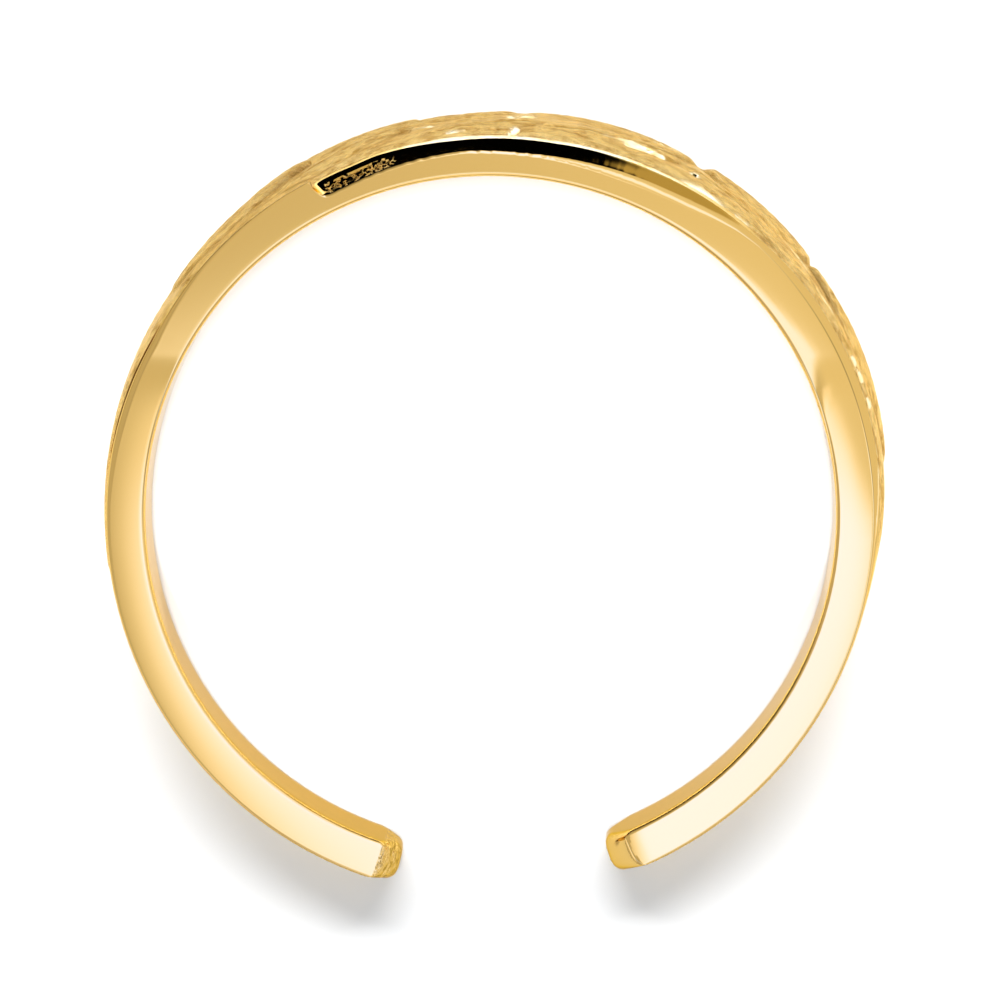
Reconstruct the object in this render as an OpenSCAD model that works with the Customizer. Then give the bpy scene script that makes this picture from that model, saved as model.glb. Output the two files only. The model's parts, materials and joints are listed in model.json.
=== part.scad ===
// An open toe ring, cast and polished as one piece, lying on its side. The leaf-covered front points
// to +Y and the gap between the two ends points to -Y. The ring rests on the lower edge of its wide
// front and on the lower corners of the two ends, so its bore leans a little away from upright.
// Millimetres, +Z up, the floor is Z = 0, and the bore's axis meets the floor at the origin.

/* [Band] */
// Inside diameter of the ring
bore_d = 14.8; // [13:0.1:19]
// Thickness of the wall at its two side faces
wall = 0.84; // [0.7:0.02:1.1]
// Width of the plain shank, across the band
shank_w = 2.1; // [1.6:0.1:3]
// Width of the front, measured at the bore
front_w = 4.6; // [3.6:0.1:5.6]
// How far in front of the ring's middle the band starts to widen
flare_from = 1.5; // [0.5:0.1:3]
// Radius of the bend where each side face starts to lean outwards
flare_bend_r = 20; // [8:1:24]
// Radius of the domed outer face, across the band
dome_r = 7.5; // [5:0.5:12]

/* [Ends] */
// Opening between the two ends, as an angle seen from the ring's middle
gap_angle = 33.6; // [20:0.2:50]
// Turn of the gap's middle away from straight opposite the front
gap_turn = 2.2; // [-6:0.2:6]
// Radius of the rounded corners of the two ends
end_corner_r = 0.55; // [0.2:0.05:0.75]

/* [Swollen front] */
// Direction in which the front is thickest, 90 is straight to the front
swell_dir = 58; // [50:1:120]
// How far the swollen front's centre is moved in that direction
swell_shift = 0.42; // [0.3:0.02:0.6]
// How far the swollen front's crown is set below the shank's crown before it is moved
swell_drop = 0.12; // [0.06:0.01:0.25]

/* [Coves along the front's edges] */
// Radius of the round cutter that leaves each cove
cove_r = 0.5; // [0.4:0.02:0.7]
// How far the cutter's middle stays outside the edge, both ways
cove_stand_off = 0.2; // [0.12:0.01:0.3]
// Angle where the cove starts with a round end
cove_from = 118; // [100:1:130]
// Angle where the cutter leaves the edge in a straight line
cove_to = 63; // [50:1:80]

/* [Leaves] */
// Length of the longest leaf
leaf_len = 5.2; // [4:0.1:6]
// Width of the broadest leaf
leaf_w = 2.4; // [1.8:0.1:2.8]
// Rise of the highest leaf's back above the swollen front
leaf_rise = 0.22; // [0.18:0.01:0.34]
// Radius of a leaf's rounded back, across the leaf
leaf_back_r = 1.5; // [1.2:0.1:2]
// Radius that a leaf's back bends to along the ring, tighter than the ring so that its tips sink
leaf_bend_r = 7; // [5.5:0.1:8]
// Radius of the fine groove along a leaf's middle
vein_r = 0.07; // [0.04:0.01:0.1]

/* [Hidden] */
$fn = 96;
// longer than anything here, for cutters and blanks that run right past the ring
past = 10;
r_in = bore_d / 2;
r_edge = r_in + wall;
function dome_sag(h) = dome_r - sqrt(dome_r * dome_r - h * h);
r_crown = r_edge + dome_sag(shank_w / 2);
r_swell = r_crown - swell_drop;
// each side face leans out by this angle from the bend on
flare_slope = (front_w - shank_w) / 2 / (r_in - flare_from);
flare_a = atan(flare_slope);
bend_len = flare_bend_r * tan(flare_a / 2);
function half_w(y) = shank_w / 2 + flare_slope * (y - flare_from);
// the ring tips over until the front's lower edge and the two ends touch the floor
rest_y = r_edge + cove_stand_off - sqrt(cove_r * cove_r - cove_stand_off * cove_stand_off);
end_y = r_edge * cos(gap_angle / 2);
tilt = atan((half_w(rest_y) - shank_w / 2) / (rest_y + end_y));
// height of the ring's middle above the floor, along the bore's axis
lift = half_w(rest_y) - rest_y * tan(tilt);
// radius and centre of the side face's outer edge, in the plane of that face
edge_r = r_edge * cos(flare_a);
edge_c = (r_edge - flare_from) / cos(flare_a) - edge_r;
// Columns: angle round the ring, place across the band as a share of half the front's width,
// length, width and rise as shares of the named leaf sizes, turn on the face, pitch of the tip.
LEAVES = [
    // angle, across, length, width, rise, turn, pitch
    [177, 0, 0.7, 0.5, 0.25, 0, 0],
    [149, 0, 0.85, 0.55, 0.3, 0, 0],
    [130, 0.15, 0.85, 0.62, 0.9, 8, 1],
    [116, -0.15, 0.92, 0.8, 0.95, -6, 2.5],
    [112, 0.46, 0.73, 0.58, 0.7, 12, 2],
    [93, 0.1, 0.44, 0.6, 0.45, 6, 2],
    [96, -0.6, 0.69, 0.58, 0.62, -12, 2],
    [92, 0.65, 0.62, 0.5, 0.5, 10, 2],
    [72.5, -0.15, 0.77, 0.83, 0.68, -8, 2],
    [73, 0.5, 0.77, 0.67, 0.45, 12, 2],
    [75, -0.7, 0.62, 0.5, 0.35, -6, 2],
    [48, -0.1, 0.63, 1, 0.95, 0, 0],
    [52, 0.52, 0.62, 0.5, 0.3, -12, -2],
    [50, -0.6, 0.58, 0.46, 0.3, 14, -2],
    [21.5, 0.05, 0.98, 0.7, 0.8, 3, -2],
];

band();

// the whole ring, tipped to where it comes to rest
module band() {
    color("#DDB569")
    rotate([tilt, 0, 0])
    translate([0, 0, lift])
    difference() {
        difference() {
            difference() {
                open_ring();
                both_edges()
                cove_arc();
            }
            both_edges()
            cove_way_out();
        }
        both_edges()
        cove_start();
    }
}

// the ring before its front edges are cut
module open_ring() {
    difference() {
        intersection() {
            union() {
                barrel(r_crown);
                translate([swell_shift * cos(swell_dir), swell_shift * sin(swell_dir), 0])
                barrel(r_swell);
                for (row = LEAVES)
                    leaf(row);
            }
            side_faces();
        }
        bore();
        end_cut(270 + gap_turn - gap_angle / 2);
        mirror([1, 0, 0])
        end_cut(270 - gap_turn - gap_angle / 2);
    }
}

module both_edges() {
    children();
    mirror([0, 0, 1])
    children();
}

// a ring with a domed outer face, its crown at the given radius
module barrel(crown) {
    rotate_extrude()
    intersection() {
        translate([crown - dome_r, 0])
        circle(r = dome_r);
        translate([r_in - wall, -past])
        square([past, 2 * past]);
    }
}

module bore() {
    translate([0, 0, -past])
    cylinder(r = r_in, h = 2 * past);
}

// all that lies between the two side faces
module side_faces() {
    rotate([90, 0, 90])
    translate([0, 0, -past])
    linear_extrude(2 * past) {
        half_profile();
        mirror([0, 1])
        half_profile();
    }
}

// half of the band seen from the side: straight, then a bend, then leaning out
module half_profile() {
    difference() {
        polygon([
            [-past, -shank_w / 4],
            [-past, shank_w / 2],
            [flare_from - bend_len, shank_w / 2],
            [flare_from + bend_len * cos(flare_a), shank_w / 2 + bend_len * sin(flare_a)],
            [past, half_w(past)],
            [past, -shank_w / 4],
        ]);
        translate([flare_from - bend_len, shank_w / 2 + flare_bend_r])
        circle(r = flare_bend_r);
    }
}

// everything past one end, which stops at the given angle with rounded corners
module end_cut(angle) {
    reach = r_edge * sin(gap_angle / 2) + wall;
    straight = shank_w / 2 - end_corner_r;
    rotate([0, 0, angle])
    translate([r_in - wall, 0, 0])
    rotate([90, 0, 90])
    linear_extrude(3 * wall)
    difference() {
        translate([-end_corner_r, -shank_w])
        square([end_corner_r + reach, 2 * shank_w]);
        for (side = [-1, 1])
            translate([-end_corner_r, side * straight])
            circle(r = end_corner_r);
        translate([-2 * end_corner_r, -straight])
        square([2 * end_corner_r, 2 * straight]);
    }
}

// where the round cutter goes along the upper side face's outer edge, at the given angle
module cutter_at(angle) {
    translate([0, flare_from, shank_w / 2])
    rotate([flare_a, 0, 0])
    translate([0, edge_c, cove_stand_off])
    rotate([0, 0, angle])
    children();
}

module cove_arc() {
    cutter_at(cove_to)
    rotate_extrude(angle = cove_from - cove_to)
    translate([edge_r + cove_stand_off, 0])
    circle(r = cove_r);
}

module cove_start() {
    cutter_at(cove_from)
    translate([edge_r + cove_stand_off, 0, 0])
    sphere(r = cove_r);
}

// the cutter leaves the edge in a straight line
module cove_way_out() {
    cutter_at(cove_to)
    translate([edge_r + cove_stand_off, 0, 0])
    rotate([90, 0, 0])
    cylinder(r = cove_r, h = past / 2);
}

// one leaf on the swollen front, a pointed outline with a rounded back
module leaf(row) {
    across = row[1] * front_w / 2;
    half_len = row[2] * leaf_len / 2;
    half_wid = row[3] * leaf_w / 2;
    rise = row[4] * leaf_rise;
    side_r = (half_len * half_len + half_wid * half_wid) / (2 * half_wid);
    base_r = max(r_crown, r_swell + swell_shift * cos(row[0] - swell_dir));
    rotate([0, 0, row[0]])
    translate([base_r - dome_r, 0, 0])
    rotate([0, -asin(across / dome_r), 0])
    translate([dome_r, 0, 0])
    rotate([row[5], 0, 0])
    rotate([0, 0, row[6]])
    difference() {
        intersection() {
            rotate([90, 0, 90])
            translate([0, 0, -wall / 2])
            linear_extrude(wall)
            intersection() {
                translate([0, side_r - half_wid])
                circle(r = side_r);
                translate([0, half_wid - side_r])
                circle(r = side_r);
            }
            bent_bar(rise - leaf_back_r, leaf_back_r);
        }
        bent_bar(rise, vein_r);
    }
}

// a round bar bent along the ring, its middle at the given height above the leaf's place
module bent_bar(height, bar_r) {
    // a little longer than any leaf
    sweep = 1.2 * leaf_len / leaf_bend_r * 180 / PI;
    translate([-leaf_bend_r, 0, 0])
    rotate([0, 0, -sweep / 2])
    rotate_extrude(angle = sweep)
    translate([leaf_bend_r + height, 0])
    circle(r = bar_r);
}
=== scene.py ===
import json
import math

import bpy
import numpy as np
from mathutils import Matrix, Vector


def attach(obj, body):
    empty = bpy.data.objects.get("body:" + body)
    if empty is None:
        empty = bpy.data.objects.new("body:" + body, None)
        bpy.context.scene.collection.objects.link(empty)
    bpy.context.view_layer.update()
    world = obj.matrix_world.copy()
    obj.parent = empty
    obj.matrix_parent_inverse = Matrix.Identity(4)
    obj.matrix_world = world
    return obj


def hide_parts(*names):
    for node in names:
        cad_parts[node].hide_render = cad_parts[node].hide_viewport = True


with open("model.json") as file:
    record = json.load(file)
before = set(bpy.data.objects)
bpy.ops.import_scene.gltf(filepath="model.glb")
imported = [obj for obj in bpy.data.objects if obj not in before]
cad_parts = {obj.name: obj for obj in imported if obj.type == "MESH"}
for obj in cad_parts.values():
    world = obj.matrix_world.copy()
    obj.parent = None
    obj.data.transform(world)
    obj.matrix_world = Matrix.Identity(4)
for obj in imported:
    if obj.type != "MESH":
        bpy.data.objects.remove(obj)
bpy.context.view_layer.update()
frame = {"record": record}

# An open toe ring cast in one piece in yellow gold. The wax gave it its swollen front and its leaves,
# a round cutter gave the two coves, and the rest was filed round and polished on a buff.
# Sizes are in millimetres. The ring's own frame has x and y across the bore and z along it.
BORE_R = 7.4
WALL = 0.84
SHANK_W = 2.1
FRONT_W = 4.6
FLARE_FROM = 1.5
FLARE_BEND_R = 20
DOME_R = 7.5
END_FROM = -71
END_TO = 255.4
END_CORNER_R = 0.55
END_ROUND_R = 0.27
END_DROP = 0.68
END_POWER = 1.2
SWELL_DIR = 58
SWELL_SHIFT = 0.42
SWELL_DROP = 0.12
COVE_R = 0.5
COVE_STAND_OFF = 0.2

EDGE_R = BORE_R + WALL
CROWN_R = EDGE_R + DOME_R - math.sqrt(DOME_R**2 - (SHANK_W / 2) ** 2)
SWELL_R = CROWN_R - SWELL_DROP
FLARE_SLOPE = (FRONT_W - SHANK_W) / 2 / (BORE_R - FLARE_FROM)
FLARE_A = math.atan(FLARE_SLOPE)
BEND_LEN = FLARE_BEND_R * math.tan(FLARE_A / 2)

# How far from its corner each edge is softened by the buff: at the bore, at the outer face's rim, and
# at the side face's outer edge, which is the lip of the cove where there is one
BORE_EDGE = 0.075
TOP_EDGE = np.array([
    # angle, size
    (46, 0.03), (60, 0.045), (88, 0.055), (96, 0.07), (103, 0.03), (125, 0.02),
])
LIP_EDGE = np.array([
    # angle, size
    (-71, 0.04), (46, 0.04), (56, 0.13), (70, 0.13), (84, 0.04), (122, 0.04), (138, 0.1), (152, 0.22),
    (165, 0.16), (178, 0.07), (195, 0.04), (256, 0.04),
])
# what the buff took off the two side faces
BUFFED = 0.004

# The side faces aren't quite flat: the middle stands above the two rims where the dish is positive.
FACE_DISH = np.array([
    # angle, dish
    (-71, 0.001), (0, 0.002), (10, 0.004), (24, 0.004), (40, 0.002), (70, 0.0005), (105, 0.0005),
    (130, 0.0008), (150, 0.0004), (165, 0.0012), (185, 0.002), (215, 0.0028), (240, 0.002), (256, 0.001),
])
# How far from the bore the face starts to roll down to it, in millimetres, and how steep it gets
ROLL_SLOPE = 0.1
FACE_ROLL = np.array([
    # angle, width
    (-71, 0.02), (17, 0.03), (22, 0.36), (27, 0.4), (33, 0.27), (38, 0.2), (50, 0.12), (65, 0.03),
    (120, 0.02), (165, 0.02), (180, 0.03), (256, 0.02),
])
# The cove ends in a round at this angle, which takes this many degrees
COVE_FROM = 117.7
COVE_END = 2
# Share of the side face's width that the cove leaves, by angle round the ring
COVE_LIP = np.array([
    # angle, share
    (46, 1), (50, 0.97), (54, 0.88), (58, 0.78), (62, 0.72), (68, 0.67), (75, 0.64), (85, 0.62),
    (94, 0.66), (102, 0.59), (108, 0.52), (113, 0.46), (125, 0.43),
])
# How far the outer face is rubbed down at its rim along the cove, in millimetres
RUBBED = np.array([
    # angle, depth
    (40, 0), (50, 0.03), (62, 0.055), (80, 0.05), (90, 0.01), (95, 0), (107, 0), (111, 0.04),
    (118, 0.05), (122, 0),
])
# How far the cove reaches down the outer face, in millimetres, by angle round the ring
COVE_DROP = np.array([
    # angle, drop
    (44, 0), (50, 0.04), (54, 0.09), (60, 0.16), (68, 0.2), (76, 0.23), (85, 0.22), (94, 0.22), (102, 0.25),
    (108, 0.29), (113, 0.32), (125, 0.34),
])

# The leaves. Their length, width and rise are shares of the longest leaf, the broadest one and the
# highest back. Their place across is a share of half the front's width.
LEAF_LEN = 5.2
LEAF_W = 2.4
LEAF_RISE = 0.22
LEAF_BACK_R = 1.5
LEAF_BEND_R = 7.6
GROUND = 0.045
VEIN_W = 0.045
VEIN_DEPTH = 0.05
LEAVES = [
    # angle, across, length, width, rise, turn, pitch
    (176, 0, 0.7, 0.5, 0.08, 0, 0),
    (149, 0, 0.85, 0.55, 0.25, 0, 0),
    (131, 0.15, 0.92, 0.62, 0.8, 8, 2.6),
    (116, -0.15, 0.98, 0.8, 0.76, -6, -0.3),
    (112, 0.46, 0.73, 0.58, 0.55, 12, 1.5),
    (95, 0.1, 0.6, 0.6, 0.42, 6, -1),
    (96, -0.6, 0.69, 0.58, 0.45, -12, 2),
    (92, 0.65, 0.62, 0.5, 0.38, 10, 2),
    (72.5, -0.15, 0.84, 0.83, 0.64, -8, 1.9),
    (73, 0.5, 0.77, 0.67, 0.45, 12, 2),
    (75, -0.7, 0.62, 0.5, 0.35, -6, 2),
    (48, -0.1, 0.645, 1, 0.95, 0, 0),
    (52, 0.52, 0.62, 0.5, 0.3, -12, -2),
    (50, -0.6, 0.58, 0.46, 0.3, 14, -2),
    (22.7, 0.05, 0.99, 0.7, 0.8, 3, -1.5),
]

# The graver's deeper cuts, smoother inside and given a painted highlight there. Places in degrees round the
# ring and millimetres across it, sizes in millimetres. A curl bends the cut sideways, as a share of its
# length.
CUTS = [
    # angle, across, length, width, depth, turn, curl
    (71.2, 1.25, 0.95, 0.16, 0.04, 2, 0),
    (68.3, 1.33, 0.8, 0.22, 0.075, 12, 0.1),
    (65.9, 1.3, 0.6, 0.16, 0.04, -10, 0),
    (63.4, -0.1, 1.1, 0.2, 0.05, 14, 0.15),
    (59.6, 1.26, 0.3, 0.2, 0.1, 4, 0),
    (56.8, 2, 1.5, 0.3, 0.055, -3, 0.05),
    (50.4, 2, 0.5, 0.3, 0.08, 6, 0),
    (86.9, 0.75, 0.25, 0.3, 0.08, 20, 0),
    (86.5, 1.95, 0.25, 0.35, 0.09, -15, 0),
    (84.9, 0.5, 0.5, 0.16, 0.07, 5, 0),
    (95, 1.85, 0.5, 0.1, 0.06, 8, 0.1),
    (99.5, 1.05, 0.6, 0.09, 0.05, -12, 0.1),
    (23.5, 1.3, 0.35, 0.25, 0.08, 30, 0),
    (21.4, 1.2, 0.3, 0.3, 0.09, -25, 0),
    (19.3, 1.35, 0.35, 0.25, 0.09, 20, 0),
    (17.4, 1.2, 0.3, 0.3, 0.08, -30, 0),
    (15.5, 1.3, 0.3, 0.25, 0.08, 25, 0),
    (41, 0.7, 1.2, 0.12, 0.05, -8, 0.1),
    (33, 1.2, 0.9, 0.12, 0.05, 8, 0),
]


def half_width(y):
    """Half the band's width at y in front of the ring's middle: straight along the shank, then a
    circular bend, then a straight line that leans outwards."""
    start = FLARE_FROM - BEND_LEN
    end = FLARE_FROM + BEND_LEN * math.cos(FLARE_A)
    bend = SHANK_W / 2 + FLARE_BEND_R - np.sqrt(FLARE_BEND_R**2 - np.clip(y - start, 0, end - start) ** 2)
    return np.where(y < end, bend, SHANK_W / 2 + FLARE_SLOPE * (y - FLARE_FROM))


def smooth(low, high, x):
    """A smooth step: 0 up to low, 1 from high on, and a cubic ease between them."""
    t = np.clip((x - low) / (high - low), 0, 1)
    return t * t * (3 - 2 * t)


def wander(x, waves, seed):
    """A smooth random line over x, between about -1 and 1: the mean of sines of near wave lengths."""
    own = np.random.default_rng(seed)
    out = np.zeros_like(x)
    for _ in range(6):
        out += np.sin(x * 2 * math.pi / (waves * own.uniform(0.6, 1.7)) + own.uniform(0, 6.3))
    return out / 3


def outer_radius(angle, z):
    """Radius of the smooth outer face: the higher of two domed barrels, one round the ring's axis and
    one moved towards the thick side of the front. Each is a circle of the dome's radius across."""
    sag = DOME_R - np.sqrt(DOME_R**2 - z**2)
    turn = np.radians(angle - SWELL_DIR)
    plain = CROWN_R - sag
    swollen = SWELL_SHIFT * np.cos(turn) + np.sqrt((SWELL_R - sag) ** 2 - (SWELL_SHIFT * np.sin(turn)) ** 2)
    return np.maximum(plain, swollen)


def rubbed(angle, below):
    """What is rubbed off the outer face at this distance below its edge."""
    return np.interp(angle, RUBBED[:, 0], RUBBED[:, 1]) * smooth(0.5, 0, below)


def leaf_height(angle, z, row):
    """Height of one leaf above the smooth face. Its back is a paraboloid, tighter than
    the face both ways, tilted by the pitch, and its outline is where two circles overlap. A leaf with
    a pitch fades out towards its two tips, and a level one ends bluntly. Fine ribs run aslant from
    the vein. Also the graver's line round the leaf and along its middle, 1 on the line and 0 off it."""
    at, across, length, width, rise, turn, pitch = row
    base = max(CROWN_R, SWELL_R + SWELL_SHIFT * math.cos(math.radians(at - SWELL_DIR)))
    half_len, half_wid = length * LEAF_LEN / 2, width * LEAF_W / 2
    side_r = (half_len**2 + half_wid**2) / (2 * half_wid)
    along = base * np.radians(angle - at)
    over = z - across * FRONT_W / 2
    turn = math.radians(turn)
    u = along * math.cos(turn) + over * math.sin(turn)
    v = over * math.cos(turn) - along * math.sin(turn)
    back = rise * LEAF_RISE - u * math.tan(math.radians(0.6 * pitch))
    back = back - u**2 / 2 * (1 / LEAF_BEND_R - 1 / base) - v**2 / 2 * (1 / LEAF_BACK_R - 1 / DOME_R)
    inside = np.sqrt(np.maximum(side_r**2 - u**2, 0)) - (side_r - half_wid) - np.abs(v)
    fade = 0.35 + 0.1 * abs(pitch)
    mask = smooth(-0.02, 0.16, inside) * smooth(half_len, half_len - fade, np.abs(u))
    vein = VEIN_DEPTH * np.exp(-((v / VEIN_W) ** 2)) * smooth(half_len, half_len * 0.8, np.abs(u))
    side = (np.abs(v) * 0.8 + u) / 0.3
    rib = 0.012 * np.abs(np.sin(side * math.pi)) ** 0.5 * smooth(0.02, 0.2, inside)
    outline = np.exp(-(((inside - 0.03) / 0.06) ** 2)) * smooth(half_len, half_len - 0.2, np.abs(u))
    line = np.maximum(outline, 0.7 * vein / VEIN_DEPTH)
    return np.maximum((back - vein - 0.01 + rib) * mask, 0), line


def one_cut(angle, z, row):
    """A cut with a soft hollow section and tapered ends along a line that may curl, from 0 beside it to
    1 in its middle."""
    at, across, length, width, _, turn, curl = row
    t = math.radians(turn)
    along, over = CROWN_R * np.radians(angle - at), z - across
    u, v = along * math.cos(t) + over * math.sin(t), over * math.cos(t) - along * math.sin(t)
    v = v - curl * length * (2 * u / length) ** 2
    taper = np.maximum(1 - (2 * u / length) ** 2, 0.0001)
    return smooth(1, 0, np.abs(v) / (width * np.sqrt(taper))) * smooth(1, 0.6, np.abs(2 * u / length))


def strokes(angle, z, count, length, width, depth, stray, seed):
    """Short graver strokes: each is a groove with a rounded section along a straight line that is
    a little turned from the ring's own direction, at a random place on the front."""
    own = np.random.default_rng(seed)
    cut = np.zeros_like(angle)
    for _ in range(count):
        a, c = own.uniform(0, 186), own.uniform(-1.0, 1.0) * FRONT_W / 2
        t = math.radians(own.normal(0, stray))
        half, deep = length * own.uniform(0.4, 1.3) / 2, depth * own.uniform(0.4, 1.3)
        wide = width * own.uniform(0.7, 1.4)
        reach = math.degrees((half + 3 * wide) / CROWN_R) + 1
        cols = np.where(np.abs(angle[:, 0] - a) < reach)[0]
        if len(cols) == 0:
            continue
        part = slice(cols[0], cols[-1] + 1)
        along, over = CROWN_R * np.radians(angle[part] - a), z[part] - c
        u, v = along * math.cos(t) + over * math.sin(t), over * math.cos(t) - along * math.sin(t)
        line = np.exp(-((v / wide) ** 2)) * smooth(half, half * 0.3, np.abs(u))
        cut[part] = np.maximum(cut[part], deep * line)
    return cut


def front_relief(angle, z):
    """What is raised above, or cut into, the smooth outer face: the highest leaf at each point, less
    the strokes of the graver. Also how far each point is satin, cut bright, which is smoother and
    carries a painted highlight, and scored by the lines round the leaves and along them, which
    carry painted shade."""
    satin = smooth(-7, -2, angle) * smooth(188.2, 187.2, angle)
    high = GROUND * smooth(-10, 8, angle) * smooth(185, 150, angle)
    scored = np.zeros_like(angle)
    for row in LEAVES:
        near = np.abs(angle[:, 0] - row[0]) < 40
        one, line = leaf_height(angle[near], z[near], row)
        # a leaf hides the lines of those that it covers
        line = np.where(one > high[near], line, np.where(one > high[near] - 0.03, line, 0))
        scored[near] = np.maximum(np.where(one > high[near] + 0.005, 0, scored[near]), line)
        high[near] = np.maximum(high[near], one)
    cut = strokes(angle, z, 220, 0.9, 0.07, 0.02, 25, 3)
    cut = cut + strokes(angle, z, 120, 0.35, 0.07, 0.035, 60, 4)
    cut = cut + strokes(angle, z, 40, 0.5, 0.05, 0.07, 25, 5)
    bright = np.zeros_like(angle)
    for row in CUTS:
        one = one_cut(angle, z, row)
        cut = np.maximum(cut, row[4] * one)
        bright = np.maximum(bright, smooth(0.02, 0.3, one))
    cut = cut + 0.02 * scored
    return high + 0.02 * satin - cut * satin, satin, bright * satin, scored * satin


def face_height(radius, angle):
    """Height of the near side face above the ring's middle plane, with its slight dish."""
    dish = np.interp(angle, FACE_DISH[:, 0], FACE_DISH[:, 1])
    q = (radius - BORE_R) / WALL
    width = np.interp(angle, FACE_ROLL[:, 0], FACE_ROLL[:, 1])
    roll = ROLL_SLOPE / 2 * width * np.clip(1 - (radius - BORE_R) / width, 0, None) ** 2
    return half_width(radius * np.sin(np.radians(angle))) - BUFFED + dish * (1 - (2 * q - 1) ** 2) - roll


def rounded(before, corner, after, cut, steps):
    """A corner softened by a parabola, which starts and ends at the cut's distance from the corner, on
    the lines to the points before and after it. Points are pairs of radius and height."""
    t = np.linspace(0, 1, steps)[None, :]
    size_in, size_out = (np.hypot(p[0] - corner[0], p[1] - corner[1]) for p in (before, after))
    out = []
    for k in (0, 1):
        start = corner[k] + cut * (before[k] - corner[k]) / size_in
        stop = corner[k] + cut * (after[k] - corner[k]) / size_out
        out.append((1 - t) ** 2 * start + 2 * t * (1 - t) * corner[k] + t**2 * stop)
    return out


# points in each softened edge and across the cove
EDGE_STEPS = 6
COVE_STEPS = 6


def half_section(a):
    """The band's section from the middle of the bore to the top of the outer face's edge, a row of
    points for each angle: bore, softened edge, side face, lip, cove and the outer face's edge."""
    # the cove starts with a round end
    begin = np.sqrt(np.clip(1 - (np.clip(a - COVE_FROM + COVE_END, 0, None) / COVE_END) ** 2, 0, 1))
    share = 1 - (1 - np.interp(a, COVE_LIP[:, 0], COVE_LIP[:, 1])) * begin
    drop = np.interp(a, COVE_DROP[:, 0], COVE_DROP[:, 1]) * begin
    lip_cut = np.interp(a, LIP_EDGE[:, 0], LIP_EDGE[:, 1])
    ragged = 0.008 * wander(a, 1.6, 5) * smooth(60, 90, a) * begin
    lip_r = BORE_R + WALL * share + ragged - 0.01
    top_z = half_width(EDGE_R * np.sin(np.radians(a))) - BUFFED - 0.1 - drop
    flat = 0 * a
    middle = (BORE_R + flat, flat)
    inner = (BORE_R + flat, face_height(BORE_R, a))
    inner_on = (inner[0] + 0.1, face_height(BORE_R + 0.1, a))
    lip = (lip_r, face_height(lip_r, a))
    lip_back = (lip_r - 0.1, face_height(lip_r - 0.1, a))
    top = (outer_radius(a, top_z) - rubbed(a, 0), top_z)
    top_on = (outer_radius(a, top_z - 0.1) - rubbed(a, 0.1), top_z - 0.1)
    edge = rounded(middle, inner, inner_on, BORE_EDGE, EDGE_STEPS)
    lip_arc = rounded(lip_back, lip, top, lip_cut, EDGE_STEPS)
    top_cut = np.interp(a, TOP_EDGE[:, 0], TOP_EDGE[:, 1])
    top_cut = np.minimum(top_cut, 0.5 * np.hypot(top[0] - lip[0], top[1] - lip[1]))
    top_arc = rounded(lip, top, top_on, top_cut, EDGE_STEPS)
    t = np.linspace(0, 1, 6)[None, :-1]
    bore = (BORE_R + 0 * a * t, edge[1][:, :1] * t)
    t = np.array([0.03, 0.12, 0.25, 0.45, 0.65, 0.85, 0.97])[None, :]
    face_r = edge[0][:, -1:] + (lip_arc[0][:, :1] - edge[0][:, -1:]) * t
    face = (face_r, face_height(face_r, a))
    # the cove is a little hollow, and where there is none the strip in its place is a little full
    t = np.linspace(0, 1, COVE_STEPS + 2)[None, 1:-1]
    dr, dz = (top_arc[k][:, :1] - lip_arc[k][:, -1:] for k in (0, 1))
    size = np.maximum(np.hypot(dr, dz), 0.001)
    bow = 4 * t * (1 - t) * 0.03 * size * (2 * smooth(0, 0.1, drop) - 1)
    cove = (lip_arc[0][:, -1:] + dr * t + bow * dz / size, lip_arc[1][:, -1:] + dz * t - bow * dr / size)
    parts = (bore, edge, face, lip_arc, cove, top_arc)
    return [np.concatenate([p[k] + 0 * a for p in parts], axis=1) for k in (0, 1)]


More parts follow.
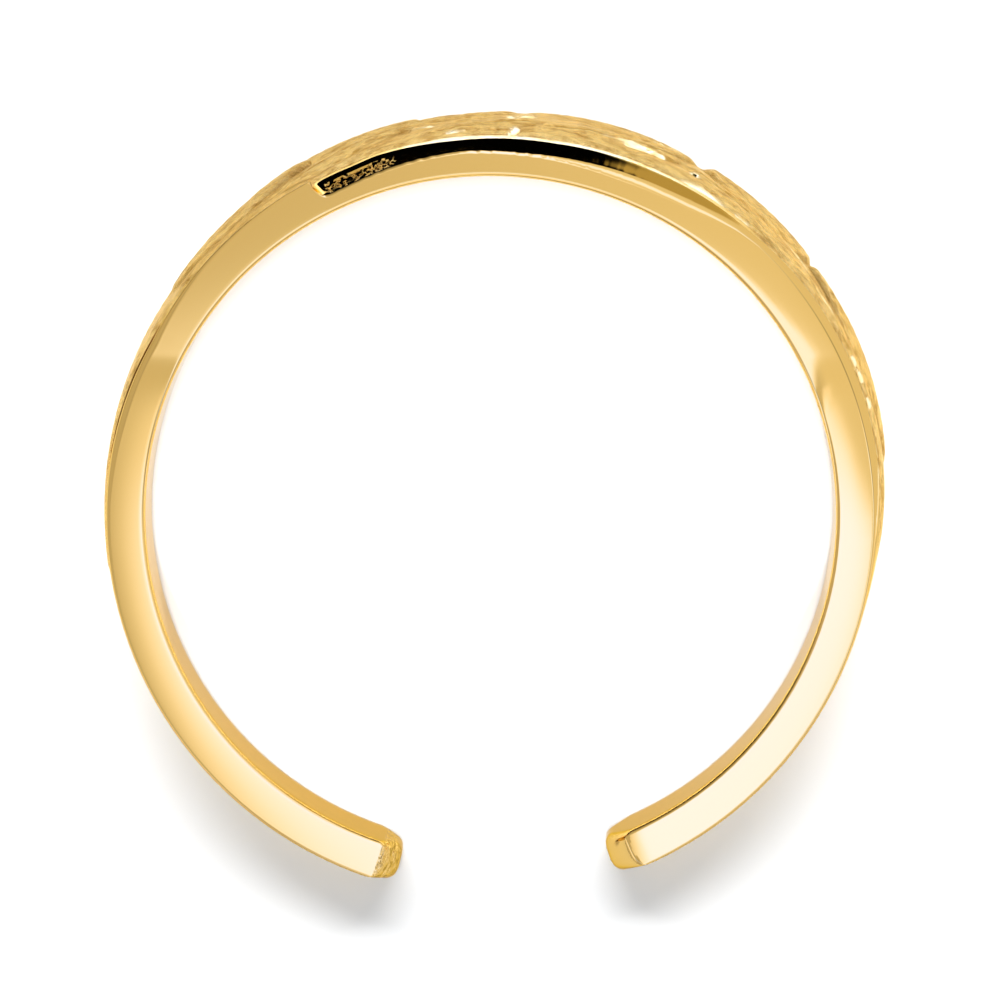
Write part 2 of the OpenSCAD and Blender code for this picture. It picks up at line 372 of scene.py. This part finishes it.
def band_grid():
    """The band as a grid of points: a closed section round the wall, carried round the ring. The
    section runs up the bore, over the near side face, down the outer face and back over the far one.
    Its stations lie closest at the two ends, along the front, and where the cove starts."""
    corner = [np.linspace(0, 0.3, 10), np.linspace(0.32, 0.36, 3), np.linspace(0.38, 0.86, 25)]
    corner = np.degrees(np.concatenate(corner) / CROWN_R)
    angles = np.concatenate([
        END_FROM + corner,
        np.linspace(END_FROM + corner[-1] + 1, -3, 24),
        np.linspace(-3, COVE_FROM - COVE_END, 330)[1:],
        COVE_FROM - COVE_END * np.cos(np.linspace(0, math.pi / 2, 22))[1:],
        np.linspace(COVE_FROM + 0.2, 192, 170),
        np.linspace(192, END_TO - corner[-1] - 1, 24)[1:],
        END_TO - corner[::-1],
    ])
    a = angles[:, None]
    near_r, near_z = half_section(a)
    z_top = near_z[:, -1:]
    z = z_top * np.linspace(1, -1, 80)[None, 1:-1]
    relief, satin, bright, scored = front_relief(a + 0 * z, z)
    rim = smooth(0, 0.15, z_top - np.abs(z))
    outer_r = outer_radius(a, z) + relief * rim - rubbed(a, z_top + 0.05 - np.abs(z))
    r = np.concatenate([near_r, outer_r, near_r[:, ::-1]], axis=1)[:, :-1]
    z = np.concatenate([near_z, z, -near_z[:, ::-1]], axis=1)[:, :-1]
    # the corners of the two ends are rounded, seen along the bore
    gap = CROWN_R * np.radians(np.minimum(a - END_FROM, END_TO - a))
    inset = END_ROUND_R * (1 - np.sqrt(1 - (1 - np.clip(gap / END_ROUND_R, 0, 1)) ** 2))
    middle = BORE_R + WALL / 2
    r = middle + (r - middle) * (1 - inset / (WALL / 2))
    # the right end's flat sides roll down a little before the corner
    roll = np.where(a < 90, 0.032 * np.clip(1.3 - gap, 0, None) ** 2, 0)
    z = z * (1 - roll / (SHANK_W / 2))
    # and at both ends they drop in a nearly straight bevel, which follows that rounded outline
    over = np.clip(np.abs(r - middle) - (WALL / 2 - END_ROUND_R), 0, END_ROUND_R)
    outline = END_ROUND_R - np.sqrt(END_ROUND_R**2 - over**2)
    corner_r = np.where(a < 90, END_CORNER_R, 0.75 * END_CORNER_R)
    share = np.clip((gap - outline) / corner_r, 0, 1)
    z = z * (1 - END_DROP / (SHANK_W / 2) * (1 - (1 - (1 - share) ** END_POWER) ** (1 / END_POWER)))
    return angles, r, z, near_r.shape[1], satin, bright, scored


angles, r, z, before, satin, bright, scored = band_grid()
count_a, count_s = r.shape
t = np.radians(angles)[:, None]
ring = np.stack([r * np.cos(t), r * np.sin(t), z], axis=-1)

# The ring tips until the front's lower edge and the two ends touch the table.
axis = frame["record"]["mounts"][0]["axis"]
tilt = math.atan2(-axis[1], axis[2])
rest_y = EDGE_R + COVE_STAND_OFF - math.sqrt(COVE_R**2 - COVE_STAND_OFF**2)
lift = float(half_width(np.array(rest_y))) - rest_y * math.tan(tilt)


def to_table(p):
    """From the ring's own frame, in millimetres, to the table's, in metres: up along the bore's axis
    by the lift, and then tipped about X."""
    x, y, up = p[..., 0], p[..., 1], p[..., 2] + lift
    c, s = math.cos(tilt), math.sin(tilt)
    return np.stack([x, y * c - up * s, y * s + up * c], axis=-1) * 0.001


points = to_table(ring).reshape(-1, 3)
i, j = np.meshgrid(np.arange(count_a - 1), np.arange(count_s), indexing="ij")
jn = (j + 1) % count_s
here, there = i * count_s, (i + 1) * count_s
quads = np.stack([here + j, here + jn, there + jn, there + j], -1).reshape(-1, 4)
faces = quads.tolist()
# each end is closed by a fan of triangles round its middle
first, last = len(points), len(points) + 1
points = np.vstack([points, points[:count_s].mean(0), points[-count_s:].mean(0)])
k = np.arange(count_s)
kn = (k + 1) % count_s
faces += np.stack([kn, k, k * 0 + first], -1).tolist()
foot = (count_a - 1) * count_s
faces += np.stack([foot + k, foot + kn, k * 0 + last], -1).tolist()
mesh = bpy.data.meshes.new("band_gold")
mesh.from_pydata(points.tolist(), [], faces)
# 0 polished, 1 engraved, which is the outer face with its two rims, and 2 filed, the flat ends
count_o = satin.shape[1]
outer_from, outer_to = before - EDGE_STEPS, before + count_o + EDGE_STEPS
slots = ((j >= outer_from) & (j < outer_to - 1)).astype(int).reshape(-1).tolist()
mesh.polygons.foreach_set("material_index", slots + [2] * (2 * count_s))
mesh.polygons.foreach_set("use_smooth", [True] * len(quads) + [False] * (2 * count_s))


def on_outer_face(values, rim):
    """A value for each point of the band's grid: the given ones on the outer face, one for each station
    along its two rims, and 0 on the rest."""
    full = np.zeros((count_a, count_s))
    full[:, outer_from:outer_to] = rim[:, None]
    full[:, before : before + count_o] = values
    return full


# the satin reaches the side faces where there is no cove, and elsewhere the rim is rubbed smooth and given
# a painted highlight
no_cove = smooth(50, 45, angles) + smooth(117, 119, angles)
rubbed_rim_highlight = 0.8 * smooth(54, 68, angles) * smooth(107, 100, angles)
# the left end, where the file's marks were left in, and the start of the cove, where the cutter's were
gap = CROWN_R * np.radians(END_TO - angles)[:, None]
filed = smooth(0.52, 0.44, gap) * np.ones(count_s)
chatter = np.zeros((count_a, count_s))
upper_cove = slice(outer_from - COVE_STEPS, outer_from - 2)
chatter[:, upper_cove] = smooth(116, 115, angles[:, None]) * smooth(104, 109, angles[:, None])
for name, values in (
    ("satin", on_outer_face(satin, satin[:, 0] * no_cove)),
    ("bright", on_outer_face(bright, rubbed_rim_highlight)),
    ("scored", on_outer_face(scored, 0 * angles)),
    ("filed", filed),
    ("chatter", chatter),
):
    # the middles of the two ends come last
    full = np.append(values.reshape(-1), [0, 0]).astype(np.float32)
    mesh.attributes.new(name, "FLOAT", "POINT").data.foreach_set("value", full)
# millimetres along the ring and across it, for patterns that follow the surface
along = np.radians(angles)[:, None] * CROWN_R + 0 * z
flat = np.stack([along, z, r - BORE_R], -1).reshape(-1, 3)
flat = np.vstack([flat, [[0, 0, 0], [0, 0, 0]]]).astype(np.float32)
mesh.attributes.new("surface_mm", "FLOAT_VECTOR", "POINT").data.foreach_set("vector", flat.reshape(-1))
band = bpy.data.objects.new("band_gold", mesh)
bpy.context.scene.collection.objects.link(band)
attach(band, "root")
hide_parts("band")


def linear(code):
    """An sRGB hex colour as linear red, green, blue and alpha."""
    parts = [int(code[k : k + 2], 16) / 255 for k in (1, 3, 5)]
    return [c / 12.92 if c <= 0.04045 else ((c + 0.055) / 1.055) ** 2.4 for c in parts] + [1]


def node(tree, kind, inputs=None, **settings):
    """Adds a node, sets its own settings, and gives its inputs values or links."""
    made = tree.nodes.new(kind)
    for key, value in settings.items():
        setattr(made, key, value)
    for key, value in (inputs or {}).items():
        if isinstance(value, bpy.types.NodeSocket):
            tree.links.new(value, made.inputs[key])
        else:
            made.inputs[key].default_value = value
    return made


def new_material(name):
    """An empty material with nodes, put in the band's next slot."""
    made = bpy.data.materials.new(name)
    made.use_nodes = True
    made.node_tree.nodes.clear()
    mesh.materials.append(made)
    return made.node_tree


# Yellow gold, 14 karat, buffed: a clear mirror with a warm tint. The cutter's chatter is left at the
# start of the cove, in marks 0.1 mm apart, twice the real ones, which wouldn't show. The file's marks
# are left at one end, in specks of about 0.17 mm.
tree = new_material("yellow_gold_polished")
where = node(tree, "ShaderNodeAttribute", attribute_name="surface_mm").outputs["Vector"]
filed_in = node(tree, "ShaderNodeAttribute", attribute_name="filed").outputs["Fac"]
chatter_in = node(tree, "ShaderNodeAttribute", attribute_name="chatter").outputs["Fac"]
lines = node(tree, "ShaderNodeMapping", {"Vector": where, "Scale": (9, 3, 16), "Rotation": (0, 0.7, 0)})
lines = node(tree, "ShaderNodeTexNoise", {"Vector": lines.outputs[0], "Scale": 1, "Detail": 3})
lines = node(tree, "ShaderNodeMapRange", {
    "Value": lines.outputs["Fac"], "From Min": 0.5, "From Max": 0.56,
}).outputs[0]
lines = node(tree, "ShaderNodeMath", {0: lines, 1: chatter_in}, operation="MULTIPLY").outputs[0]
specks = node(tree, "ShaderNodeTexNoise", {"Vector": where, "Scale": 6, "Detail": 2}).outputs["Fac"]
specks = node(tree, "ShaderNodeMath", {0: specks, 1: 0.5}, operation="SUBTRACT").outputs[0]
specks = node(tree, "ShaderNodeMath", {0: specks, 1: 1.8}, operation="MULTIPLY").outputs[0]
specks = node(tree, "ShaderNodeMath", {0: specks, 1: filed_in}, operation="MULTIPLY").outputs[0]
height = node(tree, "ShaderNodeMath", {0: lines, 1: specks}, operation="ADD").outputs[0]
bump = node(tree, "ShaderNodeBump", {"Height": height, "Strength": 1, "Distance": 0.00006}).outputs[0]
rough = node(tree, "ShaderNodeMath", {0: filed_in, 1: 0.15}, operation="MULTIPLY").outputs[0]
rough = node(tree, "ShaderNodeMath", {0: rough, 1: 0.07}, operation="ADD").outputs[0]
shader = node(tree, "ShaderNodeBsdfPrincipled", {
    "Base Color": linear("#E2BA6A"),
    "Metallic": 1,
    "Roughness": rough,
    "Specular Tint": linear("#DEC88E"),
    "Normal": bump,
})
node(tree, "ShaderNodeOutputMaterial", {"Surface": shader.outputs[0]})

# Yellow gold as the graver and a fine punch leave it: a lively satin, with painted shade in its hollows
# and in the scored lines, and a painted cream highlight in the deeper cuts and along the rubbed rim,
# which are also smoother. A real punch leaves grains of about 0.05 mm. They wouldn't show, so these
# are 0.36 by 0.17 mm, with finer ones in them.
tree = new_material("yellow_gold_engraved")
where = node(tree, "ShaderNodeAttribute", attribute_name="surface_mm").outputs["Vector"]
satin_in = node(tree, "ShaderNodeAttribute", attribute_name="satin").outputs["Fac"]
bright_in = node(tree, "ShaderNodeAttribute", attribute_name="bright").outputs["Fac"]
scored_in = node(tree, "ShaderNodeAttribute", attribute_name="scored").outputs["Fac"]
grain = node(tree, "ShaderNodeMapping", {
    "Vector": where, "Scale": (0.5, 1.1, 1), "Rotation": (0, 0, 0.25),
}).outputs[0]
grain = node(tree, "ShaderNodeTexNoise", {"Vector": grain, "Scale": 5.5, "Detail": 6, "Roughness": 0.75})
grain = node(tree, "ShaderNodeMath", {0: grain.outputs["Fac"], 1: 0.5}, operation="SUBTRACT").outputs[0]
clear = node(tree, "ShaderNodeMath", {0: 1, 1: bright_in}, operation="SUBTRACT").outputs[0]
worked = node(tree, "ShaderNodeMath", {0: satin_in, 1: clear}, operation="MULTIPLY").outputs[0]
rough = node(tree, "ShaderNodeMath", {0: worked, 1: 0.12}, operation="MULTIPLY").outputs[0]
rough = node(tree, "ShaderNodeMath", {0: rough, 1: 0.1}, operation="ADD").outputs[0]
height = node(tree, "ShaderNodeMath", {0: grain, 1: worked}, operation="MULTIPLY").outputs[0]
bump = node(tree, "ShaderNodeBump", {"Height": height, "Strength": 1, "Distance": 0.00016}).outputs[0]
# painted shade: the grain's hollows are coloured darker than its tops
deep = node(tree, "ShaderNodeMapRange", {"Value": height, "From Min": -0.2, "From Max": 0.06}).outputs[0]
# painted shade: the scored lines are coloured darker
lines = node(tree, "ShaderNodeMath", {0: scored_in, 1: 0.75}, operation="MULTIPLY").outputs[0]
# the grain breaks up the painted highlight of the bright cuts
cut_highlight = node(tree, "ShaderNodeMapRange", {"Value": grain, "From Min": -0.12, "From Max": 0}).outputs[0]
cut_highlight = node(tree, "ShaderNodeMath", {0: cut_highlight, 1: bright_in}, operation="MULTIPLY").outputs[0]
# the satin's colour, with the painted shade and a painted cream highlight in the cuts mixed in
tone = linear("#B48026")
for share, colour in ((deep, "#FFDC8C"), (lines, "#8F5E18"), (cut_highlight, "#FFF3D2")):
    tone = node(tree, "ShaderNodeMix", {0: share, 6: tone, 7: linear(colour)}, data_type="RGBA").outputs[2]
shader = node(tree, "ShaderNodeBsdfPrincipled", {
    "Base Color": tone,
    "Metallic": 1,
    "Roughness": rough,
    "Specular Tint": linear("#F6DDA8"),
    "Normal": bump,
})
node(tree, "ShaderNodeOutputMaterial", {"Surface": shader.outputs[0]})

# Yellow gold off the file: the flat ends, less bright than the rest, with the file's scores across
# them about 0.1 mm apart.
tree = new_material("yellow_gold_filed")
where = node(tree, "ShaderNodeTexCoord").outputs["Object"]
score = node(tree, "ShaderNodeMapping", {"Vector": where, "Scale": (1000, 1000, 9000)}).outputs[0]
score = node(tree, "ShaderNodeTexNoise", {"Vector": score, "Scale": 1.2, "Detail": 3}).outputs["Fac"]
bump = node(tree, "ShaderNodeBump", {"Height": score, "Strength": 1, "Distance": 0.00003}).outputs[0]
shader = node(tree, "ShaderNodeBsdfPrincipled", {
    "Base Color": linear("#D9B062"),
    "Metallic": 1,
    "Roughness": 0.22,
    "Specular Tint": linear("#F6DFAE"),
    "Normal": bump,
})
node(tree, "ShaderNodeOutputMaterial", {"Surface": shader.outputs[0]})

# The table under the ring is a square sheet of matt white board, much larger than the ring. Its size
# here is in metres.
BOARD_HALF = 0.6
floor_mesh = bpy.data.meshes.new("floor")
corners = [(x * BOARD_HALF, y * BOARD_HALF, 0) for x, y in ((-1, -1), (1, -1), (1, 1), (-1, 1))]
floor_mesh.from_pydata(corners, [], [(0, 1, 2, 3)])
floor = bpy.data.objects.new("floor", floor_mesh)
bpy.context.scene.collection.objects.link(floor)
board = bpy.data.materials.new("matt_white_board")
board.use_nodes = True
tree = board.node_tree
tree.nodes.clear()
shader = node(tree, "ShaderNodeBsdfPrincipled", {"Base Color": linear("#F4F4F4"), "Roughness": 0.9})
node(tree, "ShaderNodeOutputMaterial", {"Surface": shader.outputs[0]})
floor_mesh.materials.append(board)

# A tent of white cloth round the table, brighter overhead, with a black card upright beyond the front.
# Only the gold sees it. Its shapes are given by directions from the ring, in degrees.
world = bpy.data.worlds.new("light_tent")
bpy.context.scene.world = world
world.use_nodes = True
tree = world.node_tree
tree.nodes.clear()
coord = node(tree, "ShaderNodeTexCoord").outputs["Generated"]
x, y, up = node(tree, "ShaderNodeSeparateXYZ", {0: coord}).outputs
PER_RADIAN = 57.3
# round the table, up from it, and away from straight up towards the front and to the right
directions = []
for operation, inputs in (
    ("ARCTAN2", (y, x)), ("ARCSINE", (up,)), ("ARCTAN2", (y, up)), ("ARCTAN2", (x, up)),
):
    angle = node(tree, "ShaderNodeMath", dict(enumerate(inputs)), operation=operation).outputs[0]
    angle = node(tree, "ShaderNodeMath", {0: angle, 1: PER_RADIAN}, operation="MULTIPLY").outputs[0]
    directions.append(angle)
azimuth, height, ahead, side = directions
aside = node(tree, "ShaderNodeMath", {0: side}, operation="ABSOLUTE").outputs[0]


def patch(*steps):
    """A shape in the tent, as the product of smooth steps. Each step's row holds the direction that it
    follows, where it starts and ends, and its value before and after."""
    product = 1
    for value, low, high, first, last in steps:
        step = node(tree, "ShaderNodeMapRange", {
            "Value": value, "From Min": low, "From Max": high, "To Min": first, "To Max": last,
        }, interpolation_type="SMOOTHSTEP").outputs[0]
        product = node(tree, "ShaderNodeMath", {0: step, 1: product}, operation="MULTIPLY").outputs[0]
    return product


# the black card, up to a little above the front, with a leaning near edge, and its grey end
lean = node(tree, "ShaderNodeMath", {0: height, 1: 14}, operation="MAXIMUM").outputs[0]
lean = node(tree, "ShaderNodeMath", {0: lean, 1: 25}, operation="SUBTRACT").outputs[0]
lean = node(tree, "ShaderNodeMath", {0: lean, 1: 0.35, 2: azimuth}, operation="MULTIPLY_ADD").outputs[0]
card_top, card_end = (height, 40, 46, 1, 0), (azimuth, 158, 182, 1, 0)
dark = node(tree, "ShaderNodeMath", {
    0: patch((lean, 57, 67, 0, 1)), 1: patch((azimuth, 45, 50, 0, 0.42)),
}, operation="MAXIMUM").outputs[0]
within = patch(card_top, card_end)
dark = node(tree, "ShaderNodeMath", {0: dark, 1: within}, operation="MULTIPLY").outputs[0]
# what light the card gives back is brown
brown = patch((azimuth, 45, 50, 0, 1), card_top, card_end)
# the bright panel overhead, whose right edge slants and whose back edge fades in two steps
edge = node(tree, "ShaderNodeMath", {0: ahead, 1: 0.11, 2: 4.92}, operation="MULTIPLY_ADD").outputs[0]
over = node(tree, "ShaderNodeMath", {0: side, 1: edge}, operation="SUBTRACT").outputs[0]
back_edge = node(tree, "ShaderNodeMath", {
    0: patch((ahead, -32, -27, 0, 0.6)), 1: patch((ahead, -27, -14, 0, 0.4)),
}, operation="ADD").outputs[0]
panel = patch(
    (side, -5.6, -1.3, 0, 1), (over, -1, 1.3, 1, 0.04), (ahead, 20, 32, 1, 0.25), (aside, 20, 40, 1, 0),
)
panel = node(tree, "ShaderNodeMath", {0: panel, 1: back_edge}, operation="MULTIPLY").outputs[0]
# a weaker panel to the right of it, and the bright back of the tent
beside = patch((side, 6, 9, 0, 0.6), (side, 14, 19, 1, 0), (ahead, -28, -20, 0, 1), (ahead, 12, 24, 1, 0))
behind = patch((ahead, -35.5, -33.3, 0.7, 0), (ahead, -43, -38.5, 0.3, 1), (ahead, -75, -55, 0, 1))
for other in (beside, behind):
    panel = node(tree, "ShaderNodeMath", {0: panel, 1: other}, operation="MAXIMUM").outputs[0]
# gold turns this blue light nearly white
ramp = node(tree, "ShaderNodeValToRGB", {"Fac": panel})
PANEL_TOP = 5.2
PANEL = [
    # share of the panel, light in red, green and blue
    (0, (1, 1, 1)), (0.075, (1.11, 1.15, 1.31)), (0.13, (1.24, 1.25, 1.42)), (0.23, (1.36, 1.38, 1.72)),
    (0.41, (1.4, 1.56, 2.45)), (0.54, (1.34, 1.68, 3.3)), (0.74, (1.36, 1.78, 4.1)), (1, (1.4, 1.88, 5.2)),
]
stops = ramp.color_ramp.elements
for share, colour in PANEL:
    stop = stops[0] if share == 0 else stops[-1] if share == 1 else stops.new(share)
    stop.color = [c / PANEL_TOP for c in colour] + [1]
glow = node(tree, "ShaderNodeVectorMath", {0: ramp.outputs[0], "Scale": PANEL_TOP}, operation="SCALE")
glow = node(tree, "ShaderNodeMix", {
    0: brown, 6: glow.outputs[0], 7: (1.06, 0.93, 0.5, 1),
}, data_type="RGBA").outputs[2]
# the tent is a little brighter on the right, but not in the panels or in front of them
level = node(tree, "ShaderNodeMath", {0: side, 1: 0.045, 2: 1}, operation="MULTIPLY_ADD").outputs[0]
level = node(tree, "ShaderNodeClamp", {"Value": level, "Min": 0.85, "Max": 1.06}).outputs[0]
in_panel = node(tree, "ShaderNodeMath", {0: panel, 1: 5}, operation="MULTIPLY", use_clamp=True).outputs[0]
even = node(tree, "ShaderNodeMath", {
    0: patch((ahead, -31, -25, 0, 1)), 1: in_panel,
}, operation="MAXIMUM").outputs[0]
level = node(tree, "ShaderNodeMix", {0: even, 2: level, 3: 1.02}).outputs[0]
# It is dimmed by a fold left of the panel, by a grey collar round the hole that the camera looks
# through, towards the table behind, and by the card.
fold = patch((side, -6.5, -4.3, 0.3, 0), (ahead, -31, -25, 0, 1))
collar = node(tree, "ShaderNodeMath", {
    0: patch((azimuth, 75, 90, 0, 1), (azimuth, 168, 182, 1, 0)),
    1: patch((azimuth, -130, -115, 0, 1), (azimuth, -40, -28, 1, 0)),
}, operation="MAXIMUM").outputs[0]
ring_of = patch((aside, 10, 20, 0, 0.5), (aside, 42, 60, 1, 0))
collar = node(tree, "ShaderNodeMath", {0: ring_of, 1: collar}, operation="MULTIPLY").outputs[0]
for dimmed in (fold, collar, patch((ahead, -95, -60, 0.25, 0)), dark):
    left = node(tree, "ShaderNodeMath", {0: 1, 1: dimmed}, operation="SUBTRACT").outputs[0]
    level = node(tree, "ShaderNodeMath", {0: level, 1: left}, operation="MULTIPLY").outputs[0]
seen = node(tree, "ShaderNodeBackground", {"Color": glow, "Strength": level}).outputs[0]
# what the tent sheds on the table is plain and even
shed = node(tree, "ShaderNodeBackground", {"Color": (0.8, 0.9, 1, 1), "Strength": 0.26}).outputs[0]
glossy = node(tree, "ShaderNodeLightPath").outputs["Is Glossy Ray"]
both = node(tree, "ShaderNodeMixShader", {0: glossy, 1: shed, 2: seen}).outputs[0]
node(tree, "ShaderNodeOutputWorld", {"Surface": both})


def lamp(name, kind, place, target, power, **settings):
    """Adds a lamp that points at the target and doesn't show in the metal or to the camera."""
    light = bpy.data.lights.new(name, kind)
    light.energy = power
    for key, value in settings.items():
        setattr(light, key, value)
    made = bpy.data.objects.new(name, light)
    made.location = place
    made.rotation_euler = (Vector(target) - Vector(place)).to_track_quat("-Z", "Y").to_euler()
    bpy.context.scene.collection.objects.link(made)
    made.visible_glossy = False
    made.visible_camera = False


# One lamp hangs straight above and whitens the table. The key stands beyond the front, so the two ends
# shade the table below them. Three spots whiten it in the bore and at the ring's two sides, and a cool
# one lights it beyond the front, where the leaves mirror it. Places are in metres.
lamp("top", "AREA", (0, 0, 0.5), (0, 0, 0), 0.95, shape="DISK", size=0.06)
lamp("key", "AREA", (0, 0.2, 0.28), (0, 0, 0), 1.05, shape="ELLIPSE", size=0.3, size_y=0.07)
lamp("bore_spot", "SPOT", (0, -0.03, 0.05), (0, 0.0042, 0), 0.12, color=(0.9, 0.95, 1), spot_size=0.31,
     spot_blend=0.3, shadow_soft_size=0.002)
for name, x in (("left_spot", -1), ("right_spot", 1)):
    lamp(name, "SPOT", (0.045 * x, 0, 0.05), (0.0088 * x, 0, 0), 0.08, spot_size=0.19, spot_blend=0.5,
         shadow_soft_size=0.004)
lamp("front_spot", "SPOT", (0, 0.055, 0.05), (0, 0.055, 0), 0.9, color=(0.72, 0.76, 1), spot_size=1.32,
     spot_blend=0.5, shadow_soft_size=0.004)

bpy.context.scene.view_settings.view_transform = "Standard"
bpy.context.scene.view_settings.look = "None"

# The camera stands straight above, nearly along the bore, leaning a little towards the front. Its
# place is given in the ring's own frame, in millimetres, and its focal length by the photograph's
# pixels to a millimetre at the ring.
LEAN, SIDEWAYS = math.radians(6.5), math.radians(0.91)
DISTANCE, OFF_RIGHT, OFF_UP = 130, 0.19, 0.275
PX_PER_MM, PHOTO_PX, SENSOR_MM = 0.9965 * 46.5, 1000, 36
right = np.array([math.cos(SIDEWAYS), 0, -math.sin(SIDEWAYS)])
up = np.array([-math.sin(SIDEWAYS) * math.sin(LEAN), math.cos(LEAN), -math.cos(SIDEWAYS) * math.sin(LEAN)])
look = np.cross(up, right)
eye = to_table(-DISTANCE * look + OFF_RIGHT * right + OFF_UP * up)
origin = to_table(np.zeros(3))
axes = [to_table(v) - origin for v in (right, up, -look)]
axes = [v / np.linalg.norm(v) for v in axes]
camera = bpy.data.objects.new("camera", bpy.data.cameras.new("camera"))
camera.matrix_world = Matrix.Translation(Vector(eye)) @ Matrix(axes).transposed().to_4x4()
camera.data.sensor_width = SENSOR_MM
camera.data.lens = SENSOR_MM * PX_PER_MM * DISTANCE / PHOTO_PX
camera.data.clip_start, camera.data.clip_end = 0.01, 3
bpy.context.scene.collection.objects.link(camera)
bpy.context.scene.camera = camera
